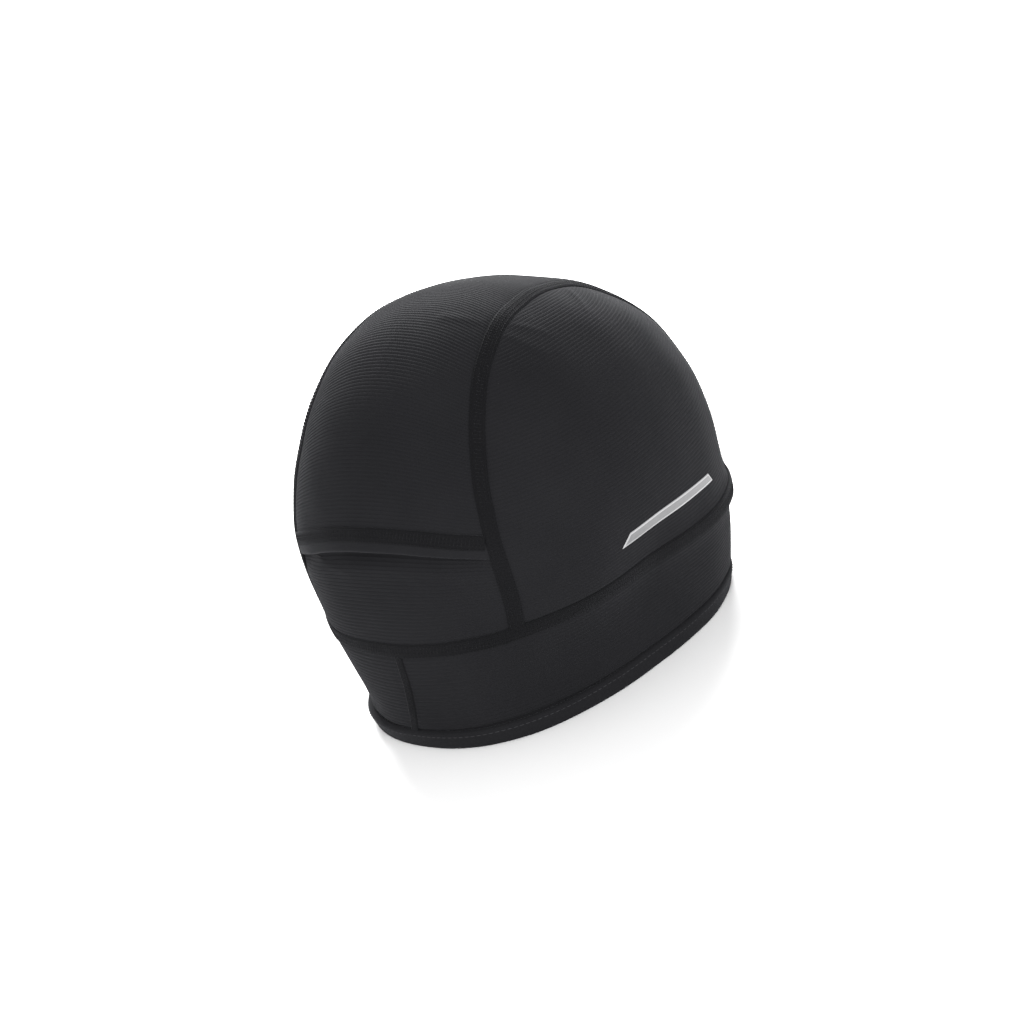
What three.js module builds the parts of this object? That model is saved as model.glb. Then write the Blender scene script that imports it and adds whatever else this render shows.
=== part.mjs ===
// A close-fitting ribbed fleece beanie, in millimetres, +Z up, with its rim on the plane z = 0.
// The front of the hat faces -Y, the back faces +Y and the wearer's right side is -X.
//
// One smooth dome carries every piece. A point on it is found from a direction that leaves
// DOME_CENTRE, and each panel, seam and hem is a stretch of that dome with its own thickness.

import * as THREE from "three";

// Driving dimensions of the dome.
const DOME_CENTRE = new THREE.Vector3(0, 10.3, 66.6);
const HALF_WIDTH = 81;
const BACK_REACH = 86.5;
const FRONT_REACH = 104.9;
const CROWN_RISE = 102;
const LOWER_REACH = 142.4;
const TILT_DEG = 4.25;
const PLAN_POWER = 2.3;
const PROFILE_POWER = 2.15;

// Broad swells (positive) and hollows (negative) of the dome, the same on both sides:
// bearing from the back, height angle, spread, and share of the radius.
const SWELLS = [
  { bearing: 0, height: -34, spread: 30, share: 0.007 },
  { bearing: 36, height: 0, spread: 14, share: -0.011 },
  { bearing: 50, height: -34, spread: 26, share: -0.125 },
  { bearing: 90, height: -25, spread: 26, share: -0.123 },
  { bearing: 180, height: -20, spread: 30, share: 0.021 },
  { bearing: 180, height: 30, spread: 30, share: 0.018 },
  { bearing: 180, height: 60, spread: 26, share: -0.045 },
  { bearing: 45, height: 40, spread: 26, share: -0.029 },
  { bearing: 135, height: 42, spread: 28, share: -0.014 },
];

// Cloth thicknesses, and the clearance between neighbouring pieces.
const CLOTH = 2.0;
const BAND_CLOTH = 2.6;
const HEM_CLOTH = 3.0;
const SLOT_CLOTH = 2.8;
const SEAM_PROUD = 0.35;
const CLEARANCE = 0.3;

// The seam between headband and crown: its height all round, and its ridge.
const BAND_SEAM_HEIGHT = 45.4;
const BAND_SEAM_BACK_RISE = 3.9;
const BAND_SEAM_SIDE_RISE = 0.6;
const SEAM_WIDTH = 6.4;
const RIDGE_FRONT = 2.8;
const RIDGE_SPREAD = 5.5;

// The rim hem, and how far the rim flares and the hem curls out either side of the nape.
const HEM_HEIGHT = 8.6;
const HEM_PROUD = 0.4;
const HEM_ROUND = 1.2;
const HEM_SHOULDER = 0.8;
const HEM_CURL = 1.7;
const HEM_CURL_AT = 7.5;
const HEM_CURL_SPREAD = 4.5;
const FLARE = 4.0;
const FLARE_BEARING = 35;
const FLARE_SPREAD = 30;
const FLARE_HEIGHT = 12;

// The centre strip: half its width, how much it narrows on top, again just in front of the top,
// and at its foot at the back.
const STRIP_HALF = 55.3;
const STRIP_NARROWING = 22;
const STRIP_NARROW_AT = 110;
const STRIP_NARROW_SPREAD = 55;
const STRIP_WAIST = 8;
const STRIP_WAIST_AT = 130;
const STRIP_WAIST_SPREAD = 25;
const STRIP_FOOT_NARROWING = 3.6;
const STRIP_FOOT_AT = -20;
const STRIP_FOOT_SPREAD = 14;

// The slot at the back: its highest point, its arch, and its turned hem.
const SLOT_HEIGHT = 93.0;
const SLOT_PEAK_X = -4;
const SLOT_ARCH = 0.0042;
const SLOT_HEM = 8.8;
const SLOT_LIFT = 1.6;
const SLOT_LIFT_HALF = 34;
const SLOT_LIFT_RISE = 32;
const TUCK = 9;
const TUCK_RUN = 20;
const TUCK_GAP = 0.5;

// The centre-back seam of the headband, which bends to the wearer's right as it rises.
const BACK_SEAM_WIDTH = 3.4;
const BACK_SEAM_FOOT_X = 3.2;
const BACK_SEAM_TOP_X = -4.6;

// The reflective bar on the wearer's right side: its ends, width, and how each end is cut.
const BAR_BACK = { y: 24.3, z: 64.2, cut: -5.6 };
const BAR_FRONT = { y: -41.0, z: 59.6, cut: 3.0 };
const BAR_WIDTH = 4.6;
const BAR_BOW = 0.8;
const BAR_THICKNESS = 0.4;

// Cells of each piece's sheets: across its width or round the rim, and along its length or height.
const AROUND = 80;
const BAND_ROWS = 4;
const STRIP_COLUMNS = 12;
const CROWN_ROWS = 38;
const SLOT_HEM_ROWS = 3;
const LOWER_BACK_ROWS = 9;
const CROWN_SEAM_ROWS = 44;
const SIDE_COLUMNS = 18;
const SIDE_ROWS = 13;
const BAR_COLUMNS = 16;

// Shares of the crown seam's arc at which a side panel's grid turns its two upper corners.
const SIDE_CORNERS = { back: 0.32, front: 0.68 };

// Ranges searched for a point: height angle, side angle and nape bearing in radians either side
// of zero, and bearings of the bar. The arcs are in degrees.
const HEIGHT_LIMIT = 1.1;
const SIDE_LIMIT = 1.35;
const NAPE_LIMIT = 0.3;
const BAR_BEARINGS = { back: -0.9, front: -2.4 };
const SEAM_BACK_ARCS = [-50, 25];
const SEAM_FRONT_ARCS = [155, 230];
const SLOT_ARCS = [-10, 80];
const HALVINGS = 40;
const SLOPE_STEP = 0.05;

const COLOURS = { cloth: 0x2b2b2e, seam: 0x1c1c1e, hem: 0x323236, bar: 0xc4c6c8 };

const rad = THREE.MathUtils.degToRad;
const bell = (t) => Math.exp(-t * t);
const mix = THREE.MathUtils.lerp;

// Direction from the dome's centre for a bearing from the back and a height angle, in radians.
function aim(bearing, height) {
  return new THREE.Vector3(
    Math.sin(bearing) * Math.cos(height),
    Math.cos(bearing) * Math.cos(height),
    Math.sin(height),
  );
}

const swells = SWELLS.map((s) => ({
  towards: aim(rad(s.bearing), rad(s.height)),
  spread: 1 - Math.cos(rad(s.spread)),
  share: s.share,
}));

// Height of the band seam's centre line at a bearing from the back.
function bandSeamHeight(bearing) {
  const fromBack = Math.cos(bearing);
  return BAND_SEAM_HEIGHT + BAND_SEAM_BACK_RISE * fromBack - BAND_SEAM_SIDE_RISE * Math.cos(2 * bearing);
}

// Radius of the dome in a direction: a tilted superellipsoid, then swells, flare and seam ridge.
function domeRadius(d) {
  const tilt = rad(TILT_DEG);
  const along = d.y * Math.cos(tilt) + d.z * Math.sin(tilt);
  const rise = d.z * Math.cos(tilt) - d.y * Math.sin(tilt);
  const plan =
    Math.pow(Math.abs(d.x) / HALF_WIDTH, PLAN_POWER) +
    Math.pow(Math.abs(along) / (along > 0 ? BACK_REACH : FRONT_REACH), PLAN_POWER);
  const profile =
    Math.pow(plan, PROFILE_POWER / PLAN_POWER) +
    Math.pow(Math.abs(rise) / (rise > 0 ? CROWN_RISE : LOWER_REACH), PROFILE_POWER);
  let swell = 1;
  for (const s of swells) {
    const cosine = Math.abs(d.x) * s.towards.x + d.y * s.towards.y + d.z * s.towards.z;
    swell += s.share * Math.exp((cosine - 1) / s.spread);
  }
  const radius = swell * Math.pow(profile, -1 / PROFILE_POWER);

  const bearing = Math.atan2(Math.abs(d.x), d.y);
  const z = DOME_CENTRE.z + radius * d.z;
  const aboveSeam = z - bandSeamHeight(bearing);
  const front = (1 - Math.cos(bearing)) / 2;
  const flare = bell((bearing - rad(FLARE_BEARING)) / rad(FLARE_SPREAD)) * bell(z / FLARE_HEIGHT);
  const ridge = RIDGE_FRONT * front * front * bell(aboveSeam / RIDGE_SPREAD);
  return radius + FLARE * flare + ridge;
}

// Point of the dome in a direction.
function onDome(d) {
  return d.clone().multiplyScalar(domeRadius(d)).add(DOME_CENTRE);
}

// Outward normal of the dome in a direction, from the slope of its level function.
function normalAt(d) {
  const p = onDome(d);
  const level = (x, y, z) => {
    const from = new THREE.Vector3(p.x + x, p.y + y, p.z + z).sub(DOME_CENTRE);
    return from.length() - domeRadius(from.clone().normalize());
  };
  return new THREE.Vector3(
    level(SLOPE_STEP, 0, 0) - level(-SLOPE_STEP, 0, 0),
    level(0, SLOPE_STEP, 0) - level(0, -SLOPE_STEP, 0),
    level(0, 0, SLOPE_STEP) - level(0, 0, -SLOPE_STEP),
  ).normalize();
}

// Root of a rising or falling function between two values, by halving the interval.
function solve(f, low, high) {
  const sign = Math.sign(f(high) - f(low));
  for (let i = 0; i < HALVINGS; i++) {
    const middle = (low + high) / 2;
    if (f(middle) * sign < 0) low = middle;
    else high = middle;
  }
  return (low + high) / 2;
}

// Direction at a bearing where the dome has a given height.
function atHeight(bearing, z) {
  const missed = (height) => onDome(aim(bearing, height)).z - z;
  return aim(bearing, solve(missed, -HEIGHT_LIMIT, HEIGHT_LIMIT));
}

// Direction on the arc that runs from the back (arc 0) over the crown to the front (arc 180),
// at a given sideways distance x from the plane of symmetry.
function acrossArc(arc, x) {
  const turn = (side) =>
    new THREE.Vector3(
      Math.sin(side),
      Math.cos(side) * Math.cos(arc),
      Math.cos(side) * Math.sin(arc),
    );
  return turn(solve((side) => onDome(turn(side)).x - x, -SIDE_LIMIT, SIDE_LIMIT));
}

// Sideways distance of the crown seam's centre line at an arc angle.
function stripHalf(arc) {
  const top = STRIP_NARROWING * bell((arc - rad(STRIP_NARROW_AT)) / rad(STRIP_NARROW_SPREAD));
  const waist = STRIP_WAIST * bell((arc - rad(STRIP_WAIST_AT)) / rad(STRIP_WAIST_SPREAD));
  const foot = STRIP_FOOT_NARROWING * bell((arc - rad(STRIP_FOOT_AT)) / rad(STRIP_FOOT_SPREAD));
  return STRIP_HALF - top - waist - foot;
}

// The same, moved sideways over the cloth by a distance, positive towards the side panel.
function seamOffset(arc, shift) {
  const half = stripHalf(arc);
  const normal = normalAt(acrossArc(arc, half));
  return half + shift * Math.sqrt(1 - normal.x * normal.x);
}

const bearingOf = (d) => Math.atan2(Math.abs(d.x), d.y);
const slotHeight = (x) => SLOT_HEIGHT - SLOT_ARCH * (x - SLOT_PEAK_X) ** 2;

// Arc angle where a line of the strip (sideways distance as a function of the arc) meets a height.
function arcWhere(lineX, heightAt, [low, high]) {
  return solve((arc) => {
    const d = acrossArc(arc, lineX(arc));
    return onDome(d).z - heightAt(d);
  }, rad(low), rad(high));
}

const SEAM_HALF = SEAM_WIDTH / 2;
const SEAM_EDGE = SEAM_HALF + CLEARANCE;
const aboveBandSeam = (rise) => (d) => bandSeamHeight(bearingOf(d)) + rise;
const backArc = (lineX, rise) => arcWhere(lineX, aboveBandSeam(rise), SEAM_BACK_ARCS);
const frontArc = (lineX, rise) => arcWhere(lineX, aboveBandSeam(rise), SEAM_FRONT_ARCS);

// A closed body between an outer and an inner sheet. dirAt(u, v) gives the direction,
// and outer and inner give each sheet's distance from the dome. A ring closes in u.
function clothBody({ across, along, dirAt, outer, inner, ring = false, floor = false }) {
  const columns = ring ? across : across + 1;
  const sheets = [];
  for (const depth of [outer, inner]) {
    for (let j = 0; j <= along; j++) {
      for (let i = 0; i < columns; i++) {
        const u = i / across;
        const v = j / along;
        const d = dirAt(u, v);
        const p = onDome(d).addScaledVector(normalAt(d), depth(u, v, d));
        if (floor && j === 0) p.z = 0;
        sheets.push(p.x, p.y, p.z);
      }
    }
  }
  const inside = columns * (along + 1);
  const id = (i, j, sheet) => (i % columns) + j * columns + sheet * inside;
  const faces = [];
  const quad = (a, b, c, e) => faces.push(a, b, c, a, c, e);
  for (let j = 0; j < along; j++) {
    for (let i = 0; i < across; i++) {
      quad(id(i, j, 0), id(i + 1, j, 0), id(i + 1, j + 1, 0), id(i, j + 1, 0));
      quad(id(i, j, 1), id(i, j + 1, 1), id(i + 1, j + 1, 1), id(i + 1, j, 1));
    }
    if (!ring) {
      quad(id(0, j, 0), id(0, j + 1, 0), id(0, j + 1, 1), id(0, j, 1));
      quad(id(across, j, 0), id(across, j, 1), id(across, j + 1, 1), id(across, j + 1, 0));
    }
  }
  for (let i = 0; i < across; i++) {
    quad(id(i, 0, 0), id(i, 0, 1), id(i + 1, 0, 1), id(i + 1, 0, 0));
    quad(id(i, along, 0), id(i + 1, along, 0), id(i + 1, along, 1), id(i, along, 1));
  }
  return facingOut(sheets, faces);
}

// Geometry from points and triangles, turned over if its volume comes out negative.
function facingOut(points, faces) {
  const at = (k) => new THREE.Vector3().fromArray(points, 3 * k);
  let volume = 0;
  for (let f = 0; f < faces.length; f += 3) {
    volume += at(faces[f]).dot(at(faces[f + 1]).cross(at(faces[f + 2])));
  }
  const order = volume < 0 ? faces.slice().reverse() : faces;
  const geometry = new THREE.BufferGeometry();
  geometry.setAttribute("position", new THREE.Float32BufferAttribute(points, 3));
  geometry.setIndex(order);
  geometry.computeVertexNormals();
  return geometry;
}

const beanie = new THREE.Group();
beanie.name = "fleece_beanie";
const materials = Object.fromEntries(
  Object.entries(COLOURS).map(([name, color]) => [
    name,
    new THREE.MeshStandardMaterial({ color, roughness: name === "bar" ? 0.4 : 0.95 }),
  ]),
);

function addPiece(name, material, geometry) {
  const mesh = new THREE.Mesh(geometry, materials[material]);
  mesh.name = name;
  beanie.add(mesh);
}

// Rim hem: a thick turned ring whose lower face is flat on z = 0.
const HEM_ROWS = [0, HEM_ROUND, HEM_HEIGHT / 2, HEM_HEIGHT - HEM_ROUND, HEM_HEIGHT - CLEARANCE / 2];
const HEM_PROFILE = [
  -HEM_ROUND / 2,
  HEM_PROUD * HEM_SHOULDER,
  HEM_PROUD,
  HEM_PROUD * HEM_SHOULDER,
  -HEM_ROUND / 4,
];
const hemRow = (v) => Math.round(v * (HEM_ROWS.length - 1));

// How far the hem curls out at a bearing and a share of its height.
function hemCurl(bearing, v) {
  const beside = bell((bearing - rad(FLARE_BEARING)) / rad(FLARE_SPREAD));
  return HEM_CURL * beside * bell((HEM_ROWS[hemRow(v)] - HEM_CURL_AT) / HEM_CURL_SPREAD);
}
addPiece("rim_hem", "hem", clothBody({
  across: AROUND,
  along: HEM_ROWS.length - 1,
  ring: true,
  floor: true,
  dirAt: (u, v) => atHeight(2 * Math.PI * u, HEM_ROWS[hemRow(v)]),
  outer: (u, v, d) => hemCurl(bearingOf(d), v) + HEM_PROFILE[hemRow(v)],
  inner: (u, v, d) => hemCurl(bearingOf(d), v) + HEM_PROUD - HEM_CLOTH,
}));

// Headband: an open ring whose two ends face each other across the centre-back seam.
const bandTop = (bearing) => bandSeamHeight(bearing) - SEAM_EDGE;
const bandBottom = HEM_HEIGHT + CLEARANCE / 2;

// Bearing of the back seam at a share of the band's height, moved sideways from its centre.
function onBackSeam(v, shift) {
  const bend = 1 - (1 - v) ** 2;
  const x = mix(BACK_SEAM_FOOT_X, BACK_SEAM_TOP_X, bend) + shift;
  const z = mix(bandBottom, bandTop(0), v);
  return solve((b) => onDome(atHeight(b, z)).x - x, -NAPE_LIMIT, NAPE_LIMIT);
}

// Direction on the band at a bearing and a share of its height.
function onBand(bearing, v) {
  return atHeight(bearing, mix(bandBottom, bandTop(bearing), v));
}
const bandEnds = Array.from({ length: BAND_ROWS + 1 }, (_, j) => [-1, 1].map(
  (side) => onBackSeam(j / BAND_ROWS, side * (BACK_SEAM_WIDTH / 2 + CLEARANCE)),
));
addPiece("headband", "cloth", clothBody({
  across: AROUND,
  along: BAND_ROWS,
  dirAt: (u, v) => {
    const [end, start] = bandEnds[Math.round(BAND_ROWS * v)];
    return onBand(mix(start, 2 * Math.PI + end, u), v);
  },
  outer: () => 0,
  inner: () => -BAND_CLOTH,
}));

// Centre-back seam of the headband.
addPiece("band_back_seam", "seam", clothBody({
  across: 2,
  along: BAND_ROWS,
  dirAt: (u, v) => onBand(onBackSeam(v, (u - 0.5) * BACK_SEAM_WIDTH), v),
  outer: (u) => (u === 0.5 ? SEAM_PROUD : 0),
  inner: () => -BAND_CLOTH,
}));

// Band seam: a flat seam all round, slightly proud of the cloth.
addPiece("band_seam", "seam", clothBody({
  across: AROUND,
  along: 2,
  ring: true,
  dirAt: (u, v) => {
    const bearing = 2 * Math.PI * u;
    return atHeight(bearing, bandSeamHeight(bearing) + mix(-SEAM_HALF, SEAM_HALF, v));
  },
  outer: (u, v) => (v === 0.5 ? SEAM_PROUD : 0),
  inner: () => -BAND_CLOTH,
}));

// Lines of the strip: its edge beside a crown seam, and a share of the way across it.
const stripEdge = (arc) => seamOffset(arc, -SEAM_EDGE);
const shareOfStrip = (share) => (arc) => share * stripEdge(arc);

// How far the cloth above the slot stands off the dome.
function slotLift(p) {
  return SLOT_LIFT * bell(p.x / SLOT_LIFT_HALF) * bell((p.z - slotHeight(p.x)) / SLOT_LIFT_RISE);
}

// A strip piece between two end heights: columns share the width, rows follow the arc.
function stripPiece(across, along, startArc, endArc, outer, inner) {
  const columns = Array.from({ length: across + 1 }, (_, i) => {
    const line = shareOfStrip((2 * i) / across - 1);
    return { line, start: startArc(line), end: endArc(line) };
  });
  return clothBody({
    across,
    along,
    dirAt: (u, v) => {
      const column = columns[Math.round(u * across)];
      const arc = mix(column.start, column.end, v);
      return acrossArc(arc, column.line(arc));
    },
    outer,
    inner,
  });
}

const slotArc = (rise) => (line) =>
  arcWhere(line, (d) => slotHeight(onDome(d).x) + rise, SLOT_ARCS);

addPiece("crown_center_panel", "cloth", stripPiece(
  STRIP_COLUMNS,
  CROWN_ROWS,
  slotArc(SLOT_HEM + CLEARANCE),
  (line) => frontArc(line, SEAM_EDGE),
  (u, v, d) => slotLift(onDome(d)),
  (u, v, d) => slotLift(onDome(d)) - CLOTH,
));

addPiece("slot_hem", "hem", stripPiece(
  STRIP_COLUMNS,
  SLOT_HEM_ROWS,
  slotArc(0),
  slotArc(SLOT_HEM),
  (u, v, d) => slotLift(onDome(d)) + (v === 0 ? 0 : SEAM_PROUD),
  (u, v, d) => slotLift(onDome(d)) + SEAM_PROUD - SLOT_CLOTH,
));

// Lower back panel: it sinks in near its top, so that it passes behind the slot hem.
function tuckDepth(p) {
  const share = THREE.MathUtils.smoothstep(p.z - slotHeight(p.x), -TUCK_RUN, 0);
  return share * (slotLift(p) + SEAM_PROUD - SLOT_CLOTH - TUCK_GAP);
}
addPiece("lower_back_panel", "cloth", stripPiece(
  STRIP_COLUMNS,
  LOWER_BACK_ROWS,
  (line) => backArc(line, SEAM_EDGE),
  slotArc(TUCK),
  (u, v, d) => tuckDepth(onDome(d)),
  (u, v, d) => tuckDepth(onDome(d)) - CLOTH,
));

// Crown seams: flat strips from the back of the band seam over the crown to its front.
function crownSeam(side) {
  const shifts = [-SEAM_HALF, 0, SEAM_HALF];
  const lines = shifts.map((shift) => {
    const line = (arc) => side * seamOffset(arc, shift);
    return { line, start: backArc(line, SEAM_EDGE), end: frontArc(line, SEAM_EDGE) };
  });
  return clothBody({
    across: 2,
    along: CROWN_SEAM_ROWS,
    dirAt: (u, v) => {
      const { line, start, end } = lines[Math.round(2 * u)];
      const arc = mix(start, end, v);
      return acrossArc(arc, line(arc));
    },
    outer: (u) => (u === 0.5 ? SEAM_PROUD : 0),
    inner: () => -CLOTH - SEAM_PROUD,
  });
}
addPiece("crown_seam_right", "seam", crownSeam(-1));
addPiece("crown_seam_left", "seam", crownSeam(1));

// A chart of one side of the dome: directions seen from the opposite side pole.
const toChart = (d) => new THREE.Vector2(d.y, d.z).divideScalar(1 + Math.abs(d.x));
function fromChart(q, side) {
  const s = q.lengthSq();
  return new THREE.Vector3((side * (1 - s)) / (1 + s), (2 * q.x) / (1 + s), (2 * q.y) / (1 + s));
}

// Side panel: a four-sided patch of the chart between the band seam and the crown seam.
function sidePanel(side) {
  const seamLine = (arc) => seamOffset(arc, SEAM_EDGE);
  const back = backArc(seamLine, SEAM_EDGE);
  const front = frontArc(seamLine, SEAM_EDGE);
  const onSeam = (arc) => toChart(acrossArc(arc, seamLine(arc)));
  const cornerBack = bearingOf(acrossArc(back, seamLine(back)));
  const cornerFront = bearingOf(acrossArc(front, seamLine(front)));
  const topBack = mix(back, front, SIDE_CORNERS.back);
  const topFront = mix(back, front, SIDE_CORNERS.front);
  const bottom = (u) => {
    const bearing = mix(cornerBack, cornerFront, u);
    return toChart(atHeight(bearing, bandSeamHeight(bearing) + SEAM_EDGE));
  };
  const top = (u) => onSeam(mix(topBack, topFront, u));
  const left = (v) => onSeam(mix(back, topBack, v));
  const right = (v) => onSeam(mix(front, topFront, v));
  const corners = [bottom(0), bottom(1), top(0), top(1)];
  return clothBody({
    across: SIDE_COLUMNS,
    along: SIDE_ROWS,
    dirAt: (u, v) => {
      const q = bottom(u).multiplyScalar(1 - v).addScaledVector(top(u), v);
      q.addScaledVector(left(v), 1 - u).addScaledVector(right(v), u);
      q.addScaledVector(corners[0], -(1 - u) * (1 - v)).addScaledVector(corners[1], -u * (1 - v));
      q.addScaledVector(corners[2], -(1 - u) * v).addScaledVector(corners[3], -u * v);
      return fromChart(q, side);
    },
    outer: () => 0,
    inner: () => -CLOTH,
  });
}
addPiece("side_panel_right", "cloth", sidePanel(-1));
addPiece("side_panel_left", "cloth", sidePanel(1));

// Reflective bar: a slim slanted strip that lies on the right side panel.
addPiece("reflective_strip", "bar", clothBody({
  across: BAR_COLUMNS,
  along: 1,
  dirAt: (u, v) => {
    const bow = BAR_BOW * 4 * u * (1 - u);
    const z = mix(BAR_BACK.z, BAR_FRONT.z, u) + bow + BAR_WIDTH * (v - 0.5);
    const cut = mix(BAR_BACK.cut, BAR_FRONT.cut, u);
    const y = mix(BAR_BACK.y, BAR_FRONT.y, u) + cut * (v - 0.5);
    const missed = (b) => onDome(atHeight(b, z)).y - y;
    const bearing = solve(missed, BAR_BEARINGS.back, BAR_BEARINGS.front);
    return atHeight(bearing, z);
  },
  outer: () => CLEARANCE + BAR_THICKNESS,
  inner: () => CLEARANCE,
}));

export default beanie;
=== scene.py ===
# %% [markdown]
# # A ribbed fleece beanie
#
# The hat is a close-fitting running beanie of black stretch fleece. A tall headband carries two
# D-shaped sides and one long strip that runs from the front over the crown to a slot at the back.
# Flat seams join the panels, and every panel shows the fine ribs of the fleece.
#
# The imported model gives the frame: the real size, the bodies and the place of every node. This
# script puts finished cloth around it. All lengths here are metres.

# %% Load the frame
import math

import bpy
import numpy as np
from mathutils import Matrix, Vector


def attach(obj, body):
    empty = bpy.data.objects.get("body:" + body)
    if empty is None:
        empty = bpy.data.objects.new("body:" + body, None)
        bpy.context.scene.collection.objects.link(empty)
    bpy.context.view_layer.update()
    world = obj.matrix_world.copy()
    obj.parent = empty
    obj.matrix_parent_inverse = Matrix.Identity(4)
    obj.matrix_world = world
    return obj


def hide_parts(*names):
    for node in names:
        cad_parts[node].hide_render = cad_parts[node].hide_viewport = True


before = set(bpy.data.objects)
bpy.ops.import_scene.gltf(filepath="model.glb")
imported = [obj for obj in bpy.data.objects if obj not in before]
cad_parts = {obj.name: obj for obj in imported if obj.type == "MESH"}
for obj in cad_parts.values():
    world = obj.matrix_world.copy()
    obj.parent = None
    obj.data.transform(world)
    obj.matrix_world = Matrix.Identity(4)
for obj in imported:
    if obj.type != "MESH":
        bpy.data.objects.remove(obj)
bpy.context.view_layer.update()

MM = 0.001
print("nodes", sorted(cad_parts))

# %% [markdown]
# ## The dome
#
# All the cloth lies on one smooth surface. It could be sculpted, or lofted through sections, but a
# formula keeps the panels, seams and stitches on exactly the same skin. Seen from a centre inside
# the head, each direction has one radius: a tilted superellipsoid, a few broad swells and hollows,
# the flare of the rim beside the nape, and the ridge of the band seam at the front.

# %% Settings of the dome
DOME_CENTRE = np.array([0.0, 10.3, 66.6]) * MM
HALF_WIDTH = 81 * MM
BACK_REACH = 86.5 * MM
FRONT_REACH = 104.9 * MM
CROWN_RISE = 102 * MM
LOWER_REACH = 142.4 * MM
TILT = math.radians(4.25)
PLAN_POWER = 2.3
PROFILE_POWER = 2.15

# Swells (positive) and hollows (negative), alike on both sides:
# bearing from the back, height angle and spread in degrees, and share of the radius.
SWELLS = (
    (0, -34, 30, 0.007),
    (36, 0, 14, -0.011),
    (50, -34, 26, -0.125),
    (90, -25, 26, -0.123),
    (180, -20, 30, 0.021),
    (180, 30, 30, 0.018),
    (180, 60, 26, -0.045),
    (45, 40, 26, -0.029),
    (135, 42, 28, -0.014),
)

BAND_SEAM_HEIGHT = 45.4 * MM
BAND_SEAM_BACK_RISE = 3.9 * MM
BAND_SEAM_SIDE_RISE = 0.6 * MM
RIDGE_FRONT = 2.8 * MM
RIDGE_SPREAD = 5.5 * MM
FLARE = 4.0 * MM
FLARE_BEARING = math.radians(35)
FLARE_SPREAD = math.radians(30)
FLARE_HEIGHT = 12 * MM

# Waves of worn cloth: how many radians each turns over a metre along X, Y and Z, and its height.
WAVES = (
    (150, 60, 110, 0.13 * MM),
    (-90, 210, 40, 0.10 * MM),
    (60, -120, 260, 0.08 * MM),
    (310, 90, -150, 0.05 * MM),
)

# Creases where the seams pull: each end as an arc angle in degrees and a sideways place in
# millimetres, then the half width and the height.
CREASES = (
    (117, -33, 113, -49, 1.7 * MM, 0.45 * MM),
    (82, -40, 87, -57, 2.2 * MM, 0.35 * MM),
    (87, -40, 95, -53, 1.6 * MM, 0.25 * MM),
    (80, -14, 83, -35, 2.6 * MM, 0.40 * MM),
    (14, 37, 10, 6, 1.8 * MM, 0.60 * MM),
)

# %% Directions and the band seam's height
def bell(t):
    """A smooth hump: one at t = 0, and e to the minus t squared away from it."""
    return np.exp(-t * t)


def aim(bearing, height):
    """Unit direction at a bearing from the back (towards +X) and a height angle, in radians."""
    bearing, height = np.broadcast_arrays(bearing, height)
    return np.stack(
        [np.sin(bearing) * np.cos(height), np.cos(bearing) * np.cos(height), np.sin(height)], axis=-1
    )


def band_seam_height(bearing):
    """Height of the band seam: a constant plus cosine terms that lift it at the back and sides."""
    return (
        BAND_SEAM_HEIGHT
        + BAND_SEAM_BACK_RISE * np.cos(bearing)
        - BAND_SEAM_SIDE_RISE * np.cos(2 * bearing)
    )


for where, turned in (("back", 0.0), ("side", math.pi / 2), ("front", math.pi)):
    print("band seam height mm", where, round(float(band_seam_height(turned)) / MM, 1))

# %% Plain radius
def plain_radius(d):
    """Radius in a direction, without waves and creases.

    The plan term plus the height term, to the power -1/p, times the swells, plus flare and ridge.
    """
    sideways = np.abs(d[..., 0])
    along = d[..., 1] * math.cos(TILT) + d[..., 2] * math.sin(TILT)
    rise = d[..., 2] * math.cos(TILT) - d[..., 1] * math.sin(TILT)
    reach = np.where(along > 0, BACK_REACH, FRONT_REACH)
    height = np.where(rise > 0, CROWN_RISE, LOWER_REACH)
    plan = (sideways / HALF_WIDTH) ** PLAN_POWER + (np.abs(along) / reach) ** PLAN_POWER
    profile = plan ** (PROFILE_POWER / PLAN_POWER) + (np.abs(rise) / height) ** PROFILE_POWER
    swell = np.ones(sideways.shape)
    for bearing, lift, spread, share in SWELLS:
        towards = aim(math.radians(bearing), math.radians(lift))
        cosine = sideways * towards[0] + d[..., 1] * towards[1] + d[..., 2] * towards[2]
        swell += share * np.exp((cosine - 1) / (1 - math.cos(math.radians(spread))))
    radius = swell * profile ** (-1 / PROFILE_POWER)

    bearing = np.arctan2(sideways, d[..., 1])
    z = DOME_CENTRE[2] + radius * d[..., 2]
    front = (1 - np.cos(bearing)) / 2
    flare = FLARE * bell((bearing - FLARE_BEARING) / FLARE_SPREAD) * bell(z / FLARE_HEIGHT)
    ridge = RIDGE_FRONT * front**2 * bell((z - band_seam_height(bearing)) / RIDGE_SPREAD)
    return radius + flare + ridge


print("plain radius mm at the back", round(float(plain_radius(aim(0.0, 0.0))) / MM, 1))

# %% Waves and creases
CREASE_REACH = 1.2
CREASE_SAMPLES = 2401

# The root of t times (1 - t) is at most 1 / 2.6, so this factor brings a crease to its height.
CREASE_PEAK = 2.6


def aim_by_arc(side, arc):
    """Unit direction at an angle sideways and an arc angle: 0 back, 90 degrees up, 180 front."""
    side, arc = np.broadcast_arrays(side, arc)
    return np.stack(
        [np.sin(side), np.cos(side) * np.cos(arc), np.cos(side) * np.sin(arc)], axis=-1
    )


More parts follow.
